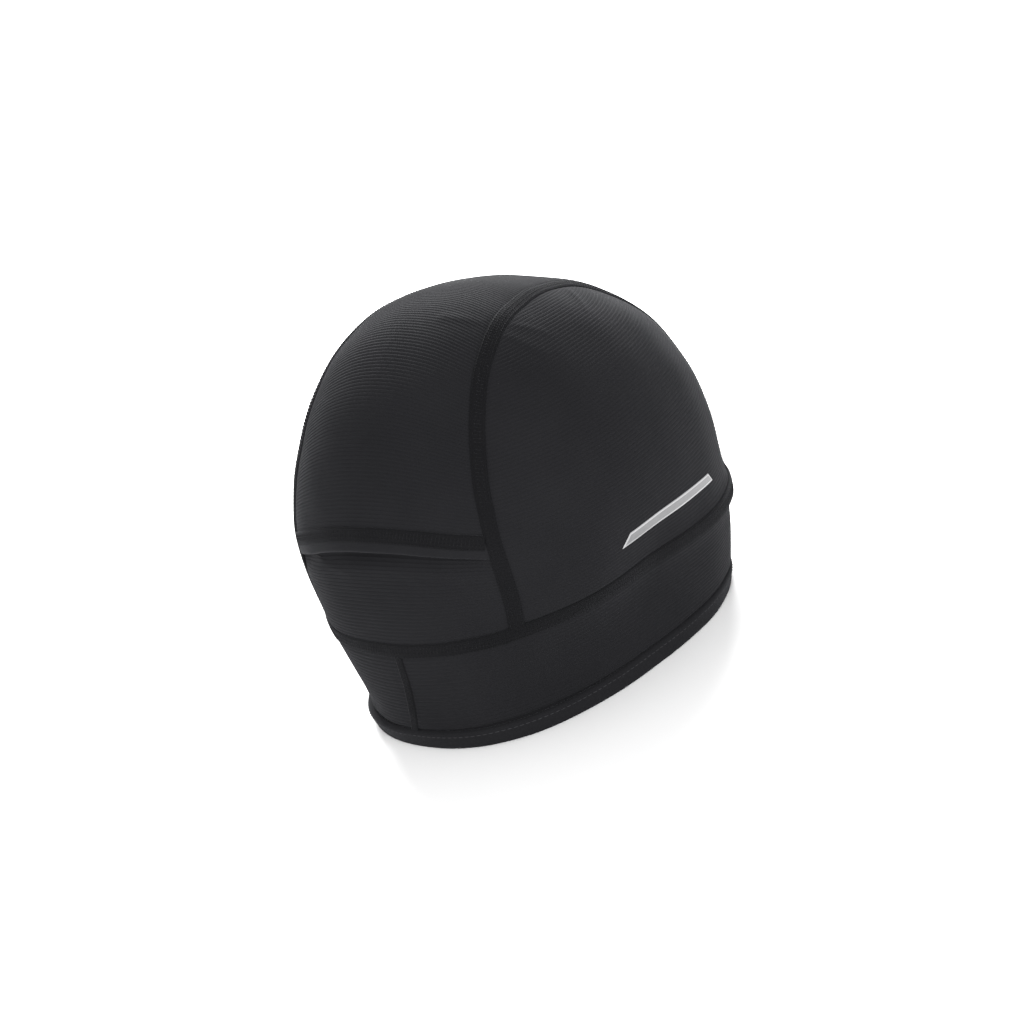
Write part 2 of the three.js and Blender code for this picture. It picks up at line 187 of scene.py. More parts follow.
def crease_ends():
    """Both ends of every crease as points from the centre, by walking sideways on each arc."""
    ends = []
    side = np.linspace(-CREASE_REACH, CREASE_REACH, CREASE_SAMPLES)
    for row in CREASES:
        for arc, x in (row[0:2], row[2:4]):
            d = aim_by_arc(side, math.radians(arc))
            p = d * plain_radius(d)[:, None]
            ends.append(p[np.argmin(np.abs(p[:, 0] - x * MM))])
    return np.array(ends).reshape(-1, 2, 3)


CREASE_ENDS = crease_ends()


def dome_radius(d):
    """The plain radius plus a sum of sine waves and the creases.

    A crease rises along its line as the root of the share t covered, fades as 1 - t, and falls
    away to both sides as a bell.
    """
    radius = plain_radius(d)
    q = d * radius[..., None]
    relief = np.zeros(radius.shape)
    for turn_x, turn_y, turn_z, height in WAVES:
        relief += height * np.sin(q[..., 0] * turn_x + q[..., 1] * turn_y + q[..., 2] * turn_z)
    for (*_, half_width, height), (start, end) in zip(CREASES, CREASE_ENDS):
        way = end - start
        along = np.clip((q - start) @ way / (way @ way), 0, 1)
        away = np.linalg.norm(q - start - along[..., None] * way, axis=-1)
        relief += height * CREASE_PEAK * np.sqrt(along) * (1 - along) * bell(away / half_width)
    return radius + relief


print("crease lengths mm", [round(float(np.linalg.norm(b - a)) / MM, 1) for a, b in CREASE_ENDS])

# %% Points and normals of the dome
SLOPE_STEP = 0.05 * MM


def on_dome(d):
    """Point of the dome in a direction: centre plus direction times radius."""
    return DOME_CENTRE + d * dome_radius(d)[..., None]


def normal_at(d):
    """Outward normal: the slope of the distance from the centre minus the dome radius.

    The slope is taken by central differences along X, Y and Z.
    """
    from_centre = d * dome_radius(d)[..., None]
    slope = np.empty_like(from_centre)
    for axis in range(3):
        step = np.zeros(3)
        step[axis] = SLOPE_STEP
        level = []
        for q in (from_centre + step, from_centre - step):
            length = np.linalg.norm(q, axis=-1)
            level.append(length - dome_radius(q / length[..., None]))
        slope[..., axis] = level[0] - level[1]
    return slope / np.linalg.norm(slope, axis=-1, keepdims=True)


print("crown height mm", round(float(on_dome(aim(0.0, math.pi / 2))[2]) / MM, 1))

# %% Distances along lines of points
def distance_along(points, axis=0):
    """Distance of each point from the start of its line: the running sum of the steps between."""
    steps = np.linalg.norm(np.diff(points, axis=axis), axis=-1)
    return np.insert(np.cumsum(steps, axis=axis), 0, 0.0, axis=axis)


girth = distance_along(on_dome(aim(np.linspace(0, 2 * math.pi, 361), 0.0)))[-1]
print("girth mm at the dome's centre", round(float(girth) / MM))

# %% Directions found by halving
# How far the searches reach, in radians: up and down, and sideways.
STEEPEST = 1.1
WIDEST = 1.35


def halve(f, low, high, steps=28):
    """Where a rising function of an array crosses zero, by halving the interval again and again."""
    low, high = np.broadcast_arrays(np.asarray(low, float), np.asarray(high, float))
    for _ in range(steps):
        middle = (low + high) / 2
        below = f(middle) < 0
        low, high = np.where(below, middle, low), np.where(below, high, middle)
    return (low + high) / 2


def at_height(bearing, z):
    """Direction at a bearing where the dome has height z."""
    lift = halve(lambda h: on_dome(aim(bearing, h))[..., 2] - z, -STEEPEST, STEEPEST)
    return aim(bearing, lift)


def across_arc(arc, x):
    """Direction at an arc angle where the dome lies a distance x sideways from its middle."""
    side = halve(lambda s: on_dome(aim_by_arc(s, arc))[..., 0] - x, -WIDEST, WIDEST)
    return aim_by_arc(side, arc)


widest = [float(on_dome(at_height(bearing, BAND_SEAM_HEIGHT))[0]) for bearing in (1.5, -1.5)]
print("width mm at the band seam", round((widest[0] - widest[1]) / MM, 1))

# %% [markdown]
# ## Where the seams run
#
# The strip over the crown is a little over 10 cm wide at the back and narrows on top. Its edge is
# a function of the arc angle. A sideways step over slanting cloth covers more cloth than its x
# difference, so the edge is shifted by the step times the cosine of the slope.

# %% Seam lines
STRIP_HALF = 55.3 * MM
STRIP_NARROWING = 22 * MM
STRIP_NARROW_AT = math.radians(110)
STRIP_NARROW_SPREAD = math.radians(55)
STRIP_WAIST = 8 * MM
STRIP_WAIST_AT = math.radians(130)
STRIP_WAIST_SPREAD = math.radians(25)
STRIP_FOOT_NARROWING = 3.6 * MM
STRIP_FOOT_AT = math.radians(-20)
STRIP_FOOT_SPREAD = math.radians(14)
STRIP_DRAW_IN = 1.3 * MM
STRIP_DRAW_AT = math.radians(48)
STRIP_DRAW_SPREAD = math.radians(26)

ARCS = np.radians(np.linspace(-50, 230, 561))
SEAM_X = (
    STRIP_HALF
    - STRIP_NARROWING * bell((ARCS - STRIP_NARROW_AT) / STRIP_NARROW_SPREAD)
    - STRIP_WAIST * bell((ARCS - STRIP_WAIST_AT) / STRIP_WAIST_SPREAD)
    - STRIP_FOOT_NARROWING * bell((ARCS - STRIP_FOOT_AT) / STRIP_FOOT_SPREAD)
    - STRIP_DRAW_IN * bell((ARCS - STRIP_DRAW_AT) / STRIP_DRAW_SPREAD)
)
SEAM_STEP = np.sqrt(1 - normal_at(across_arc(ARCS, SEAM_X))[..., 0] ** 2)


def seam_x(arc, shift=0.0):
    """Sideways distance of the crown seam's line, moved over the cloth by shift towards the side."""
    return np.interp(arc, ARCS, SEAM_X) + shift * np.interp(arc, ARCS, SEAM_STEP)


print("strip width mm", round(2 * float(seam_x(0.0)) / MM), "to", round(2 * float(SEAM_X.min()) / MM))

# %% Heights that the lines run to
SLOT_HEIGHT = 92.3 * MM
SLOT_PEAK_X = -4 * MM
SLOT_ARCH = 4.2

# Arc angles in degrees between which a line meets a height, from its lower point to its higher.
BACK_ARCS = (-50, 25)
FRONT_ARCS = (230, 155)
SLOT_ARCS = (-10, 80)
ARC_HALVINGS = 22


def slot_height(x):
    """Height of the slot's edge: a parabola that peaks a little to the wearer's right."""
    return SLOT_HEIGHT - SLOT_ARCH * (x - SLOT_PEAK_X) ** 2


def bearing_of(p):
    """Bearing from the back of a point, the same on both sides."""
    return np.arctan2(np.abs(p[..., 0]), p[..., 1] - DOME_CENTRE[1])


def arc_where(x_of_arc, height_of_point, arcs):
    """Arc angle where a line of the strip meets a height, between a lower and a higher point."""
    def miss(arc):
        """How far the line's point at an arc angle lies above the height."""
        p = on_dome(across_arc(arc, x_of_arc(arc)))
        return p[..., 2] - height_of_point(p)

    low, high = np.radians(arcs)
    return halve(miss, low, high, ARC_HALVINGS)


def above_band_seam(rise):
    """Height function that lies a given rise above the band seam."""
    return lambda p: band_seam_height(bearing_of(p)) + rise


def above_slot(rise):
    """Height function that lies a given rise above the slot's edge."""
    return lambda p: slot_height(p[..., 0]) + rise


def arcs_over_crown(line, rise, samples):
    """Even arc angles along a line over the crown, between its points a rise above the band seam."""
    back = arc_where(line, above_band_seam(rise), BACK_ARCS)
    front = arc_where(line, above_band_seam(rise), FRONT_ARCS)
    return np.linspace(float(back), float(front), samples)


print("slot edge mm high", round(slot_height(SLOT_PEAK_X) / MM, 1))

# %% [markdown]
# ## Cloth bodies from grids
#
# A piece of cloth is a closed body: an outer grid with every rib, an inner grid with fewer rows
# because the brushed side is smooth, and walls round the edge. Solidify could give the thickness,
# but it would double the ribs on a side that nobody sees. The whole mesh is handed over as arrays.

# %% Mesh helpers
SHARP_DEGREES = 60


def grid_faces(rows, cols, first=0, ring=False):
    """Four corner numbers for each cell of a grid of points; a ring also joins last column to first."""
    j, i = np.meshgrid(np.arange(rows - 1), np.arange(cols if ring else cols - 1), indexing="ij")
    right = (i + 1) % cols
    cells = [j * cols + i, j * cols + right, (j + 1) * cols + right, (j + 1) * cols + i]
    return first + np.stack(cells, axis=-1).reshape(-1, 4)


def facing_out(points, groups):
    """The face groups, turned over if the volume they enclose comes out negative."""
    volume = 0.0
    for faces in groups:
        corner = points[faces]
        for k in range(1, faces.shape[1] - 1):
            volume += np.einsum(
                "ij,ij->", corner[:, 0], np.cross(corner[:, k], corner[:, k + 1])
            )
    return [faces[:, ::-1] for faces in groups] if volume < 0 else groups


def new_piece(name, points, groups, material, uv):
    """A mesh object from points, face groups with equal corner counts, and weave coordinates.

    It is smooth but for sharp edges, rides on the root and takes a material slot.
    """
    groups = facing_out(points, groups)
    totals = np.concatenate([np.full(len(g), g.shape[1]) for g in groups]).astype(np.int32)
    corners = np.concatenate([g.reshape(-1) for g in groups]).astype(np.int32)
    mesh = bpy.data.meshes.new(name)
    mesh.vertices.add(len(points))
    mesh.vertices.foreach_set("co", points.astype(np.float32).reshape(-1))
    mesh.loops.add(len(corners))
    mesh.loops.foreach_set("vertex_index", corners)
    mesh.polygons.add(len(totals))
    mesh.polygons.foreach_set("loop_start", np.concatenate([[0], np.cumsum(totals)[:-1]]))
    mesh.polygons.foreach_set("loop_total", totals)
    mesh.polygons.foreach_set("use_smooth", np.ones(len(totals), bool))
    layer = mesh.uv_layers.new(name="weave")
    layer.data.foreach_set("uv", uv[corners].astype(np.float32).reshape(-1))
    mesh.update(calc_edges=True)
    mesh.validate()
    mesh.set_sharp_from_angle(angle=math.radians(SHARP_DEGREES))
    piece = bpy.data.objects.new(name, mesh)
    bpy.context.scene.collection.objects.link(piece)
    mesh.materials.append(material)
    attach(piece, "root")
    triangles = int((totals - 2).sum())
    print(f"{name}: {len(points)} points, {triangles} triangles")
    return piece


def cloth_body(name, outer, inner, uv, material, ring=False):
    """A closed sheet of cloth: outer grid, coarser inner grid, walls at foot, head and both sides."""
    rows, cols = outer.shape[:2]
    inner_rows = inner.shape[0]
    step = (rows - 1) // (inner_rows - 1)
    first = rows * cols
    points = np.concatenate([outer.reshape(-1, 3), inner.reshape(-1, 3)])
    i = np.arange(cols if ring else cols - 1)
    right = (i + 1) % cols
    last = (rows - 1) * cols
    inner_last = first + (inner_rows - 1) * cols
    groups = [
        grid_faces(rows, cols, 0, ring),
        grid_faces(inner_rows, cols, first, ring)[:, ::-1],
        np.stack([right, i, first + i, first + right], axis=-1),
        np.stack([last + i, last + right, inner_last + right, inner_last + i], axis=-1),
    ]
    if not ring:
        k = np.arange(inner_rows - 1)[:, None]
        climb = k * step + np.arange(step + 1)
        back = first + (k + np.array([1, 0])) * cols
        groups.append(np.concatenate([climb * cols, back], axis=1)[:, ::-1])
        groups.append(np.concatenate([climb * cols, back], axis=1) + cols - 1)
    uv = np.concatenate([uv.reshape(-1, 2), uv[::step].reshape(-1, 2)])
    return new_piece(name, points, groups, material, uv)


# %% [markdown]
# ## Ribs
#
# The fleece is knitted with fine ribs about 1.6 mm apart that run across each panel. In a render a
# bump map could draw them, but as real relief they also shade the edge of the hat. Each rib takes
# six rows of the grid: they crowd near the groove, where the surface turns, and spread over the flat
# top.

# %% Rib rows
RIB_PITCH = 1.62 * MM
RIB_DEPTH = 0.17 * MM
GROOVE_SPREAD = 0.17
RIB_STEPS = np.array([0, 0.11, 0.27, 0.5, 0.73, 0.89])
ARC_TABLE_STEPS = 400


def rib_rows(length):
    """Rows of the grid over a length: their shares of it, their depths, and how many make one rib.

    The depth is a bell-shaped groove around every whole number of ribs.
    """
    count = round(length / RIB_PITCH)
    phase = np.append((np.arange(count)[:, None] + RIB_STEPS).reshape(-1), count)
    to_groove = np.abs(phase - np.round(phase))
    return phase / count, -RIB_DEPTH * bell(to_groove / GROOVE_SPREAD), len(RIB_STEPS)


def even_arc(start, end):
    """Shares of the way between two arc angles, and the distance over the hat's middle to each."""
    share = np.linspace(0, 1, ARC_TABLE_STEPS)
    arc = start + (end - start) * share
    return share, distance_along(on_dome(across_arc(arc, 0.0)))


print("grid rows on 10 cm of cloth", len(rib_rows(100 * MM)[0]))

# %% [markdown]
# ## Materials
#
# Black fleece is never one flat black. The knit has tiny loops, the surface has a short fuzz that
# catches light at grazing angles, and the dye varies a little over the panel. A photograph of
# cloth could show all this, but it would repeat. One node group gives it as a height and a mask:
# the loops are read from the piece's own weave coordinates, so they follow the cloth. Sheen, a
# setting of the shader itself, gives the soft glow at the edges.

# %% Node helpers
def group_node(tree, kind, x, y, **settings):
    """A node of a kind at a place in a tree, with the given settings."""
    node = tree.nodes.new(kind)
    node.location = (x, y)
    for key, value in settings.items():
        setattr(node, key, value)
    return node


def set_inputs(node, **values):
    """Gives a node's inputs their values; an underscore in a name stands for a space."""
    for name, value in values.items():
        node.inputs[name.replace("_", " ")].default_value = value


def math_node(tree, operation, x, y, *inputs):
    """A Math node whose inputs are numbers or sockets."""
    node = group_node(tree, "ShaderNodeMath", x, y, operation=operation)
    for socket, value in zip(node.inputs, inputs):
        if isinstance(value, (int, float)):
            socket.default_value = value
        else:
            tree.links.new(value, socket)
    return node.outputs[0]


def new_material(name):
    """A material with nodes, its node tree, and the shader in it."""
    material = bpy.data.materials.new(name)
    material.use_nodes = True
    tree = material.node_tree
    return material, tree, tree.nodes["Principled BSDF"]


def add_relief(tree, shader, height, x, strength, distance):
    """A Bump node at a place in a tree that turns a height into the shader's normal."""
    relief = group_node(tree, "ShaderNodeBump", x, -200)
    set_inputs(relief, Strength=strength, Distance=distance)
    tree.links.new(height, relief.inputs["Height"])
    tree.links.new(relief.outputs["Normal"], shader.inputs["Normal"])


# %% Shared knit group
FUZZ_IN_SHADE = 0.45
SHADE_SHIFT = -0.22


def make_knit_group():
    """Knit loops and fuzz, for the materials of all cloth and thread.

    Height is a sine of the weave's Y, bent by a sine of its X, plus fine noise. Shade is a broad
    noise with a share of the fine one.
    """
    tree = bpy.data.node_groups.new("knit_loops_and_fuzz", "ShaderNodeTree")
    for name, value in (
        ("Loop Pitch mm", 0.8),
        ("Loop Height", 0.5),
        ("Fuzz Height", 0.5),
        ("Fuzz Scale", 2600.0),
        ("Mottle Scale", 28.0),
    ):
        socket = tree.interface.new_socket(name, in_out="INPUT", socket_type="NodeSocketFloat")
        socket.default_value = value
    for name in ("Height", "Shade"):
        tree.interface.new_socket(name, in_out="OUTPUT", socket_type="NodeSocketFloat")
    given = group_node(tree, "NodeGroupInput", -1100, 0)
    result = group_node(tree, "NodeGroupOutput", 500, 0)
    weave = group_node(tree, "ShaderNodeUVMap", -1100, 300, uv_map="weave")
    place = group_node(tree, "ShaderNodeTexCoord", -1100, -350)
    split = group_node(tree, "ShaderNodeSeparateXYZ", -920, 300)
    tree.links.new(weave.outputs["UV"], split.inputs[0])

    turns = math_node(tree, "DIVIDE", -900, 120, 2 * math.pi * 1000, given.outputs["Loop Pitch mm"])
    sideways = math_node(tree, "MULTIPLY", -720, 300, split.outputs["X"], turns)
    wale = math_node(tree, "SINE", -560, 300, sideways)
    rise = math_node(tree, "MULTIPLY", -720, 120, split.outputs["Y"], turns)
    bent = math_node(tree, "ADD", -560, 120, rise, wale)
    course = math_node(tree, "SINE", -400, 120, bent)
    loops = math_node(tree, "MULTIPLY", -240, 200, course, given.outputs["Loop Height"])

    fuzz = group_node(tree, "ShaderNodeTexNoise", -560, -200)
    set_inputs(fuzz, Detail=3.0)
    tree.links.new(place.outputs["Object"], fuzz.inputs["Vector"])
    tree.links.new(given.outputs["Fuzz Scale"], fuzz.inputs["Scale"])
    fluff = math_node(tree, "MULTIPLY", -240, -100, fuzz.outputs["Fac"], given.outputs["Fuzz Height"])
    tree.links.new(math_node(tree, "ADD", 0, 60, loops, fluff), result.inputs["Height"])

    mottle = group_node(tree, "ShaderNodeTexNoise", -560, -460)
    set_inputs(mottle, Detail=4.0)
    tree.links.new(place.outputs["Object"], mottle.inputs["Vector"])
    tree.links.new(given.outputs["Mottle Scale"], mottle.inputs["Scale"])
    fuzz_shade = (fuzz.outputs["Fac"], FUZZ_IN_SHADE, SHADE_SHIFT)
    fine = math_node(tree, "MULTIPLY_ADD", -240, -300, *fuzz_shade)
    tree.links.new(math_node(tree, "ADD", 0, -300, mottle.outputs["Fac"], fine), result.inputs["Shade"])
    return tree


KNIT = make_knit_group()
print("knit group inputs", [item.name for item in KNIT.interface.items_tree if item.in_out == "INPUT"])

# %% Cloth material
def cloth_material(name, dark, light, roughness, sheen, bump, **knit):
    """Knitted cloth: colour between two tones by the group's mask, and its height through a bump."""
    material, tree, shader = new_material(name)
    knitted = group_node(tree, "ShaderNodeGroup", -700, 0, node_tree=KNIT)
    set_inputs(knitted, **knit)
    tone = group_node(tree, "ShaderNodeMapRange", -500, 200)
    set_inputs(tone, From_Min=0.15, From_Max=0.85)
    tree.links.new(knitted.outputs["Shade"], tone.inputs["Value"])
    colour = group_node(tree, "ShaderNodeMix", -300, 200, data_type="RGBA")
    set_inputs(colour, A=(*dark, 1), B=(*light, 1))
    tree.links.new(tone.outputs["Result"], colour.inputs["Factor"])
    tree.links.new(colour.outputs["Result"], shader.inputs["Base Color"])
    add_relief(tree, shader, knitted.outputs["Height"], -300, strength=bump, distance=0.12 * MM)
    set_inputs(
        shader,
        Roughness=roughness,
        Sheen_Weight=sheen,
        Sheen_Roughness=0.45,
        Sheen_Tint=(0.9, 0.92, 1.0, 1),
        Specular_IOR_Level=0.05,
    )
    return material


# %% The five cloths and threads
FLEECE = cloth_material(
    "black_rib_fleece",
    dark=(0.0082, 0.0082, 0.0092),
    light=(0.0114, 0.0114, 0.0126),
    roughness=0.92,
    sheen=0.03,
    bump=0.5,
    Fuzz_Height=0.7,
)
HEM_CLOTH = cloth_material(
    "black_hem_jersey",
    dark=(0.0080, 0.0080, 0.0090),
    light=(0.0112, 0.0112, 0.0124),
    roughness=0.88,
    sheen=0.04,
    bump=0.4,
    Loop_Pitch_mm=0.55,
    Fuzz_Height=0.3,
)
SEAM_CLOTH = cloth_material(
    "black_seam_bed",
    dark=(0.0045, 0.0045, 0.0050),
    light=(0.0070, 0.0070, 0.0078),
    roughness=0.92,
    sheen=0.05,
    bump=0.4,
    Loop_Pitch_mm=0.5,
    Fuzz_Height=0.4,
)
# Painted highlight: the rim's thread is lighter than the cloth, so that its stitches show as light dots.
RIM_THREAD_WITH_PAINTED_HIGHLIGHT = cloth_material(
    "rim_thread_with_painted_highlight",
    dark=(0.028, 0.028, 0.030),
    light=(0.038, 0.038, 0.041),
    roughness=0.75,
    sheen=0.03,
    bump=0.2,
    Fuzz_Scale=6000.0,
    Loop_Height=0.0,
)
THREAD = cloth_material(
    "black_thread",
    dark=(0.0048, 0.0048, 0.0053),
    light=(0.0072, 0.0072, 0.0080),
    roughness=0.75,
    sheen=0.05,
    bump=0.2,
    Fuzz_Scale=6000.0,
    Loop_Height=0.0,
)
print("materials", [m.name for m in (FLEECE, HEM_CLOTH, SEAM_CLOTH, RIM_THREAD_WITH_PAINTED_HIGHLIGHT, THREAD)])

# %% [markdown]
# ## The panels
#
# A grid row is one line along a rib, so the ribs stay straight on the cloth whatever the dome
# does. Near a seam the cloth dips and slides under the seam bed, which leaves the fine shadow line
# that flat seams have.

# %% Panel settings and their finish
CLOTH = 2.0 * MM
BAND_CLOTH = 2.6 * MM
SEAM_WIDTH = 6.4 * MM
UNDER_SEAM = SEAM_WIDTH / 2 - 1.0 * MM
EDGE_DIP = 0.4 * MM
SIDE_DIP = 0.8 * MM
EDGE_DIP_RUN = 1.2 * MM
INNER_DIP_SHARE = 0.5
TUCK_EDGE = 5 * MM
SLOT_LIFT = 2.2 * MM
SLOT_LIFT_HALF = 34 * MM
SLOT_LIFT_RISE = 32 * MM


def slot_lift(p):
    """How far the cloth above the slot stands off the dome: a hump at the slot that fades upwards."""
    above = p[..., 2] - slot_height(p[..., 0])
    return SLOT_LIFT * bell(p[..., 0] / SLOT_LIFT_HALF) * bell(above / SLOT_LIFT_RISE)


def edge_dip(distance, depth=EDGE_DIP):
    """Dip of the cloth at a distance from its own edge."""
    return -depth * bell(distance / EDGE_DIP_RUN)


def from_crown_seam(p):
    """Distance over the cloth from the crown seam's line: sideways distance over its share of a step."""
    arc = np.arctan2(p[..., 2] - DOME_CENTRE[2], p[..., 1] - DOME_CENTRE[1])
    arc = np.mod(arc + math.pi / 2, 2 * math.pi) - math.pi / 2
    return np.abs(np.abs(p[..., 0]) - seam_x(arc)) / np.interp(arc, ARCS, SEAM_STEP)


def grid_distances(points):
    """Distance of each grid point from the left and the right edge, along its row."""
    run = distance_along(points, axis=1)
    return run, run[:, -1:] - run


def weave_uv(points):
    """Weave coordinates in metres: distance along the row from its middle, and distance up."""
    run = distance_along(points, axis=1)
    middle = points.shape[1] // 2
    height = distance_along(points[:, middle])[:, None]
    return np.stack([run - run[:, middle : middle + 1], np.broadcast_to(height, run.shape)], axis=-1)


def finish_panel(name, node, d, rib, lift, thickness, step, ring=False, depth=EDGE_DIP):
    """Builds a ribbed panel from its grid of directions.

    Its face is the dome plus the normal times lift, rib and edge dip. Its inside lies a thickness
    deeper, without ribs and with a share of the dip.
    """
    p, n = on_dome(d), normal_at(d)
    foot = np.linalg.norm(p - p[:1], axis=-1)
    head = np.linalg.norm(p - p[-1:], axis=-1)
    edge = np.minimum(foot, head)
    if not ring:
        edge = np.minimum(edge, from_crown_seam(p) - UNDER_SEAM)
    dip = edge_dip(edge, depth)
    outer = p + n * (lift + rib[:, None] + dip)[..., None]
    inner = (p + n * (lift + dip * INNER_DIP_SHARE - thickness)[..., None])[::step]
    piece = cloth_body(name, outer, inner, weave_uv(p), FLEECE, ring)
    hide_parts(node)


# %% [markdown]
# ## The strip over the crown
#
# One strip runs from the front band seam over the crown to the slot, and a short panel goes on
# below it. A single grid could hold both, but the real lower panel passes behind the slot's hem,
# so it is a piece of its own. Its columns lie under those of the strip, and it sinks as it climbs.

# %% Crown strip and lower back panel
STRIP_COLUMNS = 41
STRIP_SHARES = np.linspace(-1, 1, STRIP_COLUMNS)
UNDER_SLOT_SEAM = 2.6 * MM
TUCK = 9 * MM
TUCK_RUN = 8 * MM
TUCK_GAP = 0.5 * MM
TUCK_HELD = 0.9
POCKET_DEPTH = 2.4 * MM
POCKET_HALF = 27 * MM
HEM_EDGE = 3.9 * MM
SLOT_CLOTH = 2.8 * MM


def strip_x(arc):
    """Sideways places of the strip's columns at an arc angle: even shares of its half width."""
    return STRIP_SHARES * seam_x(arc, -UNDER_SEAM)


def strip_panel(name, node, first, last, lift_of):
    """A panel of the strip: each column runs from its first arc angle to its last in even ribs."""
    middle = STRIP_COLUMNS // 2
    steps, run = even_arc(first[middle], last[middle])
    rows, rib, step = rib_rows(run[-1])
    share_of_arc = np.interp(rows, run / run[-1], steps)
    arc = first + (last - first) * share_of_arc[:, None]
    d = across_arc(arc, strip_x(arc))
    finish_panel(name, node, d, rib, lift_of(on_dome(d)), CLOTH, step)


def tuck_lift(p):
    """Depth of the lower panel, which sinks as a smooth step of its height to pass behind the hem.

    It is deepest in the middle, as a bell of x, and hardly sinks near its own sides.
    """
    t = np.clip((p[..., 2] - slot_height(p[..., 0])) / TUCK_RUN + 1, 0, 1)
    left, right = grid_distances(p)
    held = bell(np.minimum(left, right) / TUCK_EDGE)
    depth = SLOT_CLOTH + TUCK_GAP + POCKET_DEPTH * bell(p[..., 0] / POCKET_HALF)
    return t * t * (3 - 2 * t) * (slot_lift(p) - depth) * (1 - TUCK_HELD * held)


strip_panel(
    "cloth_crown_center",
    "crown_center_panel",
    first=arc_where(strip_x, above_slot(HEM_EDGE + UNDER_SLOT_SEAM), SLOT_ARCS),
    last=arc_where(strip_x, above_band_seam(UNDER_SEAM), FRONT_ARCS),
    lift_of=slot_lift,
)
strip_panel(
    "cloth_lower_back",
    "lower_back_panel",
    first=arc_where(strip_x, above_band_seam(UNDER_SEAM), BACK_ARCS),
    last=arc_where(strip_x, above_slot(TUCK), SLOT_ARCS),
    lift_of=tuck_lift,
)

# %% [markdown]
# ## The sides
#
# Each side is shaped like a D: straight along the band seam, round under the crown seam. Its ribs
# run level. A flat D could be shrink-wrapped onto the dome, but the ribs would bunch where the
# cloth turns. So each grid row keeps one distance up the cloth from the band seam, read from a
# table of such distances, and ends under the crown seam, whose line gives a second table.

# %% Side panels
SIDE_COLUMNS = 61
SIDE_SHARE_OF_RIB = 0.85
SIDE_TOP_GAP = 0.4 * MM
BEARINGS = np.radians(np.linspace(25, 165, 281))
TABLE_STEPS = 400
HIGHEST_LIFT = 1.5
EDGE_SAMPLES = 900
LEVELS = 600

# A fractional index stays this far from a table's length, so that an entry follows it.
INSIDE_TABLE = 1.001


def between(table, row, column):
    """Value of a table at fractional rows and columns, in proportion to the four entries around."""
    row = np.clip(row, 0, table.shape[0] - INSIDE_TABLE)
    column = np.clip(column, 0, table.shape[1] - INSIDE_TABLE)
    a, b = row.astype(int), column.astype(int)
    s, t = row - a, column - b
    near = (1 - t) * table[a, b] + t * table[a, b + 1]
    far = (1 - t) * table[a + 1, b] + t * table[a + 1, b + 1]
    return (1 - s) * near + s * far


def side_table():
    """Lowest height angle of each bearing, and the distance up the cloth in even steps from there."""
    low = np.arcsin(at_height(BEARINGS, band_seam_height(BEARINGS) + UNDER_SEAM)[..., 2])
    lift = low[:, None] + (HIGHEST_LIFT - low[:, None]) * np.linspace(0, 1, TABLE_STEPS)
    run = distance_along(on_dome(aim(BEARINGS[:, None], lift)), axis=1)
    return low, lift, run


def bearing_row(bearing):
    """Fractional row of the side table for a bearing."""
    return (bearing - BEARINGS[0]) / (BEARINGS[1] - BEARINGS[0])


def side_edge(low, run):
    """The side panel's edge under the crown seam, from back to front: its bearings and distances up."""
    def line(arc):
        """Sideways place of the edge at an arc angle."""
        return seam_x(arc, UNDER_SEAM)

    arc = arcs_over_crown(line, UNDER_SEAM, EDGE_SAMPLES)
    d = across_arc(arc, line(arc))
    bearing = np.arctan2(d[:, 0], d[:, 1])
    lowest = np.interp(bearing, BEARINGS, low)
    column = (np.arcsin(d[:, 2]) - lowest) / (HIGHEST_LIFT - lowest) * (TABLE_STEPS - 1)
    return bearing, between(run, bearing_row(bearing), column)


def side_panel(name, node, side):
    """A side panel: each row keeps one distance from the band seam, from crown seam to crown seam."""
    low, lift, run = side_table()
    edge_bearing, edge_level = side_edge(low, run)
    peak = int(np.argmax(edge_level))
    height = edge_level[peak] - SIDE_TOP_GAP
    rows, rib, step = rib_rows(height)
    level = rows * height
    back = np.interp(level, edge_level[: peak + 1], edge_bearing[: peak + 1])
    front = np.interp(level, edge_level[peak:][::-1], edge_bearing[peak:][::-1])
    bearing = back[:, None] + (front - back)[:, None] * np.linspace(0, 1, SIDE_COLUMNS)
    levels = np.linspace(0, run.max(), LEVELS)
    lift_at = np.stack([np.interp(levels, r, angles) for r, angles in zip(run, lift)])
    column = np.broadcast_to(level[:, None] / levels[1], bearing.shape)
    angle = between(lift_at, bearing_row(bearing), column)
    d = aim(bearing, angle) * np.array([side, 1, 1])
    finish_panel(name, node, d, SIDE_SHARE_OF_RIB * rib, 0.0, CLOTH, step, depth=SIDE_DIP)


side_panel("cloth_side_right", "side_panel_right", -1)
side_panel("cloth_side_left", "side_panel_left", 1)

# %% [markdown]
# ## The headband
#
# The headband is a closed ring of thicker cloth. An extruded circle would do for a straight band,
# but this one follows the dome and ends at a seam that rises and falls, so its rows share out the
# height at every bearing. It runs down behind the rim's hem, which lets no light through between
# them, and a crease shows where the two meet.

# %% Headband
BAND_COLUMNS = 240
HEM_HEIGHT = 8.6 * MM
BEHIND_HEM = 2.6 * MM
CREASE_DEPTH = 1.1 * MM
CREASE_RUN = 1.0 * MM
HEM_CURL = 1.7 * MM
HEM_CURL_AT = 7.5 * MM
HEM_CURL_SPREAD = 4.5 * MM


def hem_curl(bearing, z):
    """How far the hem curls out beside the nape: a hump in bearing and height."""
    beside = bell((bearing - FLARE_BEARING) / FLARE_SPREAD)
    return HEM_CURL * beside * bell((z - HEM_CURL_AT) / HEM_CURL_SPREAD)


